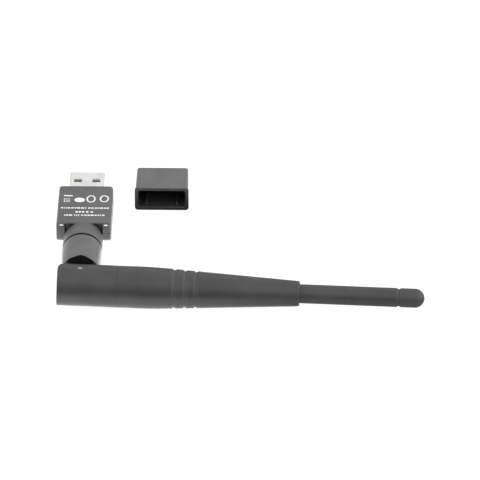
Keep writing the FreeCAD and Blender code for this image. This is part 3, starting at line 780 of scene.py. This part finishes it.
def plastic(name, tone, rough, spec=0.5, grain=0.24, depth=0.012, wear=0.5, tint=(1.0, 1.0, 1.02)):
    """Moulded plastic with a fine eroded-mould grain, handling marks and slightly rubbed edges; some finishes also
    get painted shade in the joint and the cap's hollow, and painted highlights on the ears' beads.
    """
    m = Nodes(name)
    base = tuple(tone * t for t in tint)
    worn = (min(1.0, tone * 1.9 + 0.02),) * 3
    dark, light = (tuple(v * k for v in base) for k in (0.84, 1.16))
    colour = m.mix(m.remap(m.noise(9.0, 3), 0.35, 0.65, 0.0, 1.0), dark, light)
    colour = m.mix(m.remap(m.noise(grain * 1.6, 2), 0.45, 0.7, 0.0, 0.35), colour, light)
    edge = m.edges()
    colour = m.mix(m.times(edge, wear), colour, worn)
    speck = m.remap(m.noise(0.9, 1, offset=0.013), 0.71, 0.75, 0.0, 0.5, True)
    colour = m.mix(speck, colour, tuple(v + 0.03 for v in base))
    smear = m.remap(m.noise(4.5, 4, stretch=(1, 0.45, 1), offset=0.03), 0.3, 0.7, -0.05, 0.05)
    fine = m.remap(m.noise(grain * 2, 1, offset=0.05), 0.3, 0.7, -0.03, 0.03)
    total = m.math("ADD", m.math("ADD", smear, fine), rough)
    total = m.math("SUBTRACT", total, m.times(edge, 0.08 * wear))
    gloss = spec
    if name in ("antenna_plastic", "whip_rubber"):
        facing = m.node("ShaderNodeLayerWeight").outputs["Facing"]
        gloss = m.remap(facing, 0.25, 0.8, spec, spec * 0.3)
    # painted shade: the joint's seam and shoulder faces and the cap's hollow and mouth face get a much darker
    # colour and little sheen
    if name in ("housing_plastic", "swivel_plastic", "cap_plastic"):
        painted_shade = painted_cap_shade(m) if name == "cap_plastic" else painted_joint_shade(m)
        colour = m.mix(painted_shade, colour, tuple(v * 0.15 for v in base))
        gloss = m.remap(painted_shade, 0.0, 1.0, spec, 0.05)
    if name == "housing_plastic":
        # painted highlight: pale glints painted on the ears' beads
        colour = m.mix(painted_bead_glints(m), colour, (0.7, 0.7, 0.7))
    wave = m.bump(m.noise(6.0, 1), 0.02, 0.5)
    m.set(Base_Color=colour, Roughness=total, Specular_IOR_Level=gloss)
    m.set(Normal=m.bump(m.noise(grain, 2), depth, 0.8, wave))
    return m.mat


def metal(name, colour, rough, along=(1, 0.04, 1), lines=0.12, stain=0.12, depth=0.004):
    """Rolled or drawn metal: fine lines along one way, faint stains, brighter rubbed edges."""
    m = Nodes(name)
    dark = tuple(v * (1 - stain) for v in colour)
    base = m.mix(m.remap(m.noise(3.0, 4), 0.35, 0.68, 0.0, 1.0, True), colour, dark)
    edge = m.edges(0.52, 0.6, 0.8)
    base = m.mix(m.times(edge, 0.5), base, tuple(min(1.0, v * 1.12) for v in colour))
    grain = m.noise(lines, 2, stretch=along)
    cloud = m.remap(m.noise(2.2, 3, offset=0.02), 0.3, 0.7, -0.04, 0.06)
    total = m.math("ADD", m.remap(grain, 0.3, 0.7, -0.05, 0.05), cloud)
    m.set(Base_Color=base, Metallic=1.0, Roughness=m.math("ADD", total, rough))
    m.set(Normal=m.bump(grain, depth, 0.6))
    return m.mat


def laminate(name):
    """Green solder mask over copper tracks."""
    m = Nodes(name)
    weave = m.noise(0.5, 2, stretch=(1, 0.3, 1))
    tracks = m.remap(m.noise(1.6, 0, stretch=(1, 0.35, 1), offset=0.02), 0.49, 0.51, 0.0, 1.0, True)
    base = m.mix(tracks, (0.008, 0.075, 0.03), (0.012, 0.14, 0.05))
    base = m.mix(m.remap(weave, 0.4, 0.7, 0.0, 0.3), base, (0.02, 0.11, 0.045))
    m.set(Base_Color=base, Roughness=m.remap(weave, 0.3, 0.7, 0.22, 0.36))
    m.set(Normal=m.bump(tracks, 0.03, 0.7, m.bump(weave, 0.01, 0.5)))
    return m.mat


def ink(name):
    """Pad-printed pale ink, thin in places."""
    m = Nodes(name)
    thin = m.remap(m.noise(0.35, 3), 0.36, 0.6, 0.0, 1.0, True)
    m.set(Base_Color=m.mix(thin, (0.42, 0.42, 0.42), (0.74, 0.74, 0.73)))
    m.set(Roughness=m.remap(thin, 0, 1, 0.62, 0.5))
    m.set(Normal=m.bump(m.noise(0.2, 2), 0.006, 0.6))
    return m.mat


# each finish: its kind, its tone or colour, its roughness, then whatever differs from the kind's usual
HOUSE_TONE, ANTENNA_TONE = 0.055, 0.031
FINISHES = {
    "housing_plastic": (plastic, HOUSE_TONE, 0.42, 0.5),
    "cap_plastic": (plastic, HOUSE_TONE * 1.23, 0.42, 0.5),
    "swivel_plastic": (plastic, HOUSE_TONE * 1.22, 0.4, 0.5),
    "antenna_plastic": (plastic, ANTENNA_TONE, 0.36, 0.4, 0.2, 0.008),
    "whip_rubber": (plastic, ANTENNA_TONE * 1.05, 0.4, 0.38, 0.3, 0.01, 0.25),
    "plug_insulator": (plastic, 0.055, 0.4, 0.5, 0.2, 0.005),
    "chip_epoxy": (plastic, 0.02, 0.55, 0.5, 0.12, 0.008),
    "ferrite": (plastic, 0.045, 0.5, 0.5, 0.15, 0.02, 0.6),
    "capacitor_ceramic": (plastic, 0.3, 0.45, 0.5, 0.15, 0.006, 0.3, (1.0, 0.74, 0.5)),
    "lead_jacket": (plastic, 0.03, 0.38, 0.5, 0.2, 0.004, 0.2),
    "spacer_foam": (plastic, 0.5, 0.85, 0.3, 0.3, 0.08, 0.0, (1.0, 0.98, 0.92)),
    "plug_steel": (metal, (0.64, 0.64, 0.635), 0.3),
    "crystal_lid": (metal, (0.6, 0.59, 0.55), 0.28),
    "washer_steel": (metal, (0.5, 0.5, 0.5), 0.3),
    "pin_steel": (metal, (0.25, 0.25, 0.255), 0.36, (1, 1, 0.05)),
    "contact_gilt": (metal, (0.5, 0.35, 0.15), 0.5, (1, 0.05, 1), 0.06),
    "element_brass": (metal, (0.7, 0.5, 0.2), 0.3, (0.04, 1, 1)),
    "wire_copper": (metal, (0.78, 0.4, 0.22), 0.3, (0.05, 1, 1), 0.08),
    "board_laminate": (laminate,),
}


def dress():
    """One finish per material slot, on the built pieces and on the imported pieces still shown."""
    mats = {k: v[0](k, *v[1:]) for k, v in FINISHES.items()}
    slots = {s["node"]: s["material_slot"] for s in frame["record"]["subparts"]}
    for node, cad in frame["nodes"].items():
        ob = made.get(node, cad)
        ob.data.materials.clear()
        ob.data.materials.append(mats[slots[node]])


# ---------------------------------------------------------------- printed marks, generic shapes only
def make_marks():
    """Plain pad-printed shapes on the housing's top: a bar, a disc, two rings and rows of dashes."""
    root, top = HALF_H - 0.05, HALF_H + 0.012
    verts, faces = [], []

    def prism(loop):
        k, n = len(verts), len(loop)
        verts.extend([(x, y, root) for x, y in loop] + [(x, y, top) for x, y in loop])
        faces.append([k + n + i for i in range(n)])
        faces.append([k + n - 1 - i for i in range(n)])
        faces.extend([(k + i, k + (i + 1) % n, k + n + (i + 1) % n, k + n + i) for i in range(n)])

    def dash(x, y, w, h):
        r = min(w, h) * 0.3
        loop = []
        for sx, sy, a0 in ((1, 1, 0), (-1, 1, 90), (-1, -1, 180), (1, -1, 270)):
            for a in (0, 45, 90):
                t = math.radians(a0 + a)
                corner_x = x + sx * (w / 2 - r)
                corner_y = y + sy * (h / 2 - r)
                loop.append((corner_x + r * math.cos(t), corner_y + r * math.sin(t)))
        prism(loop)

    def oval(x, y, rx, ry, n=40):
        turns = [2 * math.pi * i / n for i in range(n)]
        prism([(x + rx * math.cos(t), y + ry * math.sin(t)) for t in turns])

    def ring(x, y, rx, ry, w, n=48):
        k = len(verts)
        for i in range(n):
            c, s = math.cos(2 * math.pi * i / n), math.sin(2 * math.pi * i / n)
            for q, z in ((0, root), (0, top), (-w, top), (-w, root)):
                verts.append((x + (rx + q) * c, y + (ry + q) * s, z))
        for i in range(n):
            a, b = k + 4 * i, k + 4 * ((i + 1) % n)
            faces.extend([(a + m, b + m, b + (m + 1) % 4, a + (m + 1) % 4) for m in range(4)])

    dash(-5.75, -6.5, 3.1, 0.66)
    for row in range(3):
        for col in range(3):
            dash(-6.9 + 0.78 * col, -8.5 - 0.9 * row, 0.55, 0.42)
    oval(-1.85, -9.2, 1.75, 1.45)
    ring(1.95, -8.5, 1.55, 2.3, 0.5)
    ring(6.4, -8.35, 1.55, 2.2, 0.5)
    rng = random.Random(5)
    for y, x0, x1, h in ((-14.35, -7.9, 8.2, 0.85), (-16.85, -2.9, 3.0, 0.95), (-18.95, -6.6, 7.2, 0.85)):
        x = x0
        while x < x1 - 0.3:
            w = min(rng.choice((0.35, 0.55, 0.8, 1.1)), x1 - x)
            dash(x + w / 2, y, w, h * rng.choice((1.0, 1.0, 0.8)))
            x += w + rng.choice((0.22, 0.22, 0.3, 0.6))
    ob = mesh_object("printed_marks", verts, faces)
    ob.data.polygons.foreach_set("use_smooth", np.zeros(len(ob.data.polygons), bool))
    ob.data.materials.append(ink("print_ink"))
    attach(ob, "adapter")


dress()
make_marks()


# ---------------------------------------------------------------- stage
# how brightly the table glows in reflections, in metres and in units of the paper's own white:
# beside the part from left to right, and beyond it from near to far
FLOOR_LEFT, FLOOR_RIGHT = 1.9, 0.75
FLOOR_NEAR, FLOOR_BACK = 0.2, 1.2
PART_MIDDLE, PART_HALF = (0.052, -0.023), (0.062, 0.041)
# centre, half size and gain of the patches beside the collar and in front of the cap
FLOOR_PATCHES = (
    ((-0.018, -0.038), (0.013, 0.016), 2.2),
    ((0.018, -0.034), (0.013, 0.020), 1.8),
    ((0.027, -0.006), (0.014, 0.010), -1.7),
)
# brightness of the tent along an arc: 0.5 is the horizon in front, 0.75 overhead, 1 the horizon behind
SKY = (
    (0.0, 0.0), (0.40, 0.25), (0.5, 0.15), (0.54, 0.5), (0.60, 1.3), (0.65, 1.65),
    (0.70, 1.6), (0.78, 1.35), (0.86, 1.25), (0.92, 1.38), (0.97, 0.5), (1.0, 0.25),
)
SIDES = 2.5


def floor_glow(m):
    """What the table gives to reflections: brighter close to the part, with a few cards' patches."""
    px, py, _ = m.xyz()
    out_x = m.math("SUBTRACT", m.math("ABSOLUTE", m.math("SUBTRACT", px, PART_MIDDLE[0])), PART_HALF[0])
    out_y = m.math("SUBTRACT", m.math("ABSOLUTE", m.math("SUBTRACT", py, PART_MIDDLE[1])), PART_HALF[1])
    away = m.math("MAXIMUM", m.math("MAXIMUM", out_x, out_y), 0.0)
    close = m.fade(away, 26, 4)
    near = m.times(m.remap(px, 0.0, 0.09, FLOOR_LEFT, FLOOR_RIGHT, True), close)
    far = m.times(m.math("SUBTRACT", 1.0, close), m.remap(py, 0.0, 0.05, FLOOR_NEAR, FLOOR_BACK, True))
    glow = m.math("ADD", near, far)
    for (cx, cy), (hx, hy), gain in FLOOR_PATCHES:
        in_x = m.remap(m.off(px, cx / MM), hx, hx - 0.006, 0.0, 1.0, True)
        in_y = m.remap(m.off(py, cy / MM), hy, hy - 0.006, 0.0, 1.0, True)
        glow = m.math("MAXIMUM", m.math("ADD", glow, m.times(in_x, in_y, gain)), 0.1)
    return glow


def make_stage():
    """A plain pale table. The camera sees white paper, reflections see floor_glow."""
    me = bpy.data.meshes.new("floor")
    z = TABLE_Z * MM - 0.00002
    me.from_pydata([(-8, -8, z), (8, -8, z), (8, 8, z), (-8, 8, z)], [], [(0, 1, 2, 3)])
    floor = bpy.data.objects.new("floor", me)
    bpy.context.scene.collection.objects.link(floor)
    m = Nodes("floor_paper")
    camera = m.node("ShaderNodeLightPath").outputs["Is Camera Ray"]
    seen = m.times(camera, 0.95)
    reflected = m.times(m.math("SUBTRACT", 1.0, camera), floor_glow(m))
    emit = m.node("ShaderNodeEmission")
    m.feed(emit.inputs["Strength"], m.math("ADD", seen, reflected))
    paper = m.node("ShaderNodeBsdfDiffuse")
    paper.inputs["Color"].default_value = (0.12, 0.12, 0.12, 1)
    both = m.node("ShaderNodeAddShader")
    m.feed(both.inputs[0], emit.outputs[0])
    m.feed(both.inputs[1], paper.outputs[0])
    m.feed(m.tree.nodes["Material Output"].inputs["Surface"], both.outputs[0])
    me.materials.append(m.mat)


def make_world():
    """White to the camera. To everything else a tent: bright behind and above, dark low in front."""
    world = bpy.data.worlds.new("studio")
    bpy.context.scene.world = world
    world.use_nodes = True
    tree = world.node_tree
    tree.nodes.clear()

    def add(kind, **values):
        n = tree.nodes.new(kind)
        for k, v in values.items():
            setattr(n, k, v)
        return n

    def math_node(op, a, b):
        n = add("ShaderNodeMath", operation=op)
        for socket, v in zip(n.inputs, (a, b)):
            if isinstance(v, bpy.types.NodeSocket):
                tree.links.new(v, socket)
            else:
                socket.default_value = v
        return n.outputs[0]

    split = add("ShaderNodeSeparateXYZ")
    tree.links.new(add("ShaderNodeTexCoord").outputs["Generated"], split.inputs[0])
    dx, dy, dz = split.outputs
    turn = math_node("ARCTAN2", dz, math_node("MULTIPLY", dy, -1.0))
    place_on_arc = math_node("MULTIPLY_ADD", turn, 0.5 / math.pi)
    place_on_arc.node.inputs[2].default_value = 0.5
    ramp = add("ShaderNodeValToRGB")
    ramp.color_ramp.interpolation = "EASE"
    while len(ramp.color_ramp.elements) < len(SKY):
        ramp.color_ramp.elements.new(0.5)
    for e, (at, v) in zip(ramp.color_ramp.elements, SKY):
        e.position = at
        e.color = (v / 2, v / 2, v / 2, 1)
    tree.links.new(place_on_arc, ramp.inputs[0])
    sides = []
    for sign, start, full in ((1.0, 0.3, 0.9), (-1.0, 0.45, 0.97)):
        side = add("ShaderNodeMapRange", interpolation_type="SMOOTHSTEP")
        tree.links.new(math_node("MULTIPLY", dx, sign), side.inputs["Value"])
        side.inputs["From Min"].default_value = start
        side.inputs["From Max"].default_value = full
        sides.append(side.outputs[0])
    mixed = add("ShaderNodeMix", data_type="RGBA")
    tree.links.new(math_node("MAXIMUM", *sides), mixed.inputs[0])
    tree.links.new(ramp.outputs[0], mixed.inputs[6])
    mixed.inputs[7].default_value = (SIDES / 2, SIDES / 2, SIDES / 2, 1)
    tent = add("ShaderNodeBackground")
    tent.inputs["Strength"].default_value = 2.0
    tree.links.new(mixed.outputs[2], tent.inputs["Color"])
    white = add("ShaderNodeBackground")
    white.inputs["Color"].default_value = (1.02, 1.02, 1.02, 1)
    pick = add("ShaderNodeMixShader")
    tree.links.new(add("ShaderNodeLightPath").outputs["Is Camera Ray"], pick.inputs[0])
    tree.links.new(tent.outputs[0], pick.inputs[1])
    tree.links.new(white.outputs[0], pick.inputs[2])
    tree.links.new(pick.outputs[0], add("ShaderNodeOutputWorld").inputs[0])


# the view: about 32 degrees down, almost square on to the antenna, through a long lens
LENS_MM, DISTANCE = 388.065, 1.71994
ELEVATION, YAW = math.radians(31.801), math.radians(-0.89)
TARGET = Vector((52.156, -27.069, 0.0)) * MM


def make_camera():
    cam_data = bpy.data.cameras.new("camera")
    cam = bpy.data.objects.new("camera", cam_data)
    bpy.context.scene.collection.objects.link(cam)
    bpy.context.scene.camera = cam
    cam_data.sensor_width = 36
    cam_data.lens = LENS_MM
    flat = math.cos(ELEVATION)
    look = Vector((math.sin(YAW) * flat, math.cos(YAW) * flat, -math.sin(ELEVATION)))
    cam.location = TARGET - look * DISTANCE
    cam.rotation_mode = "QUATERNION"
    cam.rotation_quaternion = look.to_track_quat("-Z", "Y")
    cam_data.clip_start, cam_data.clip_end = 0.05, 50


make_stage()
make_world()
make_camera()
bpy.context.scene.view_settings.view_transform = "Standard"
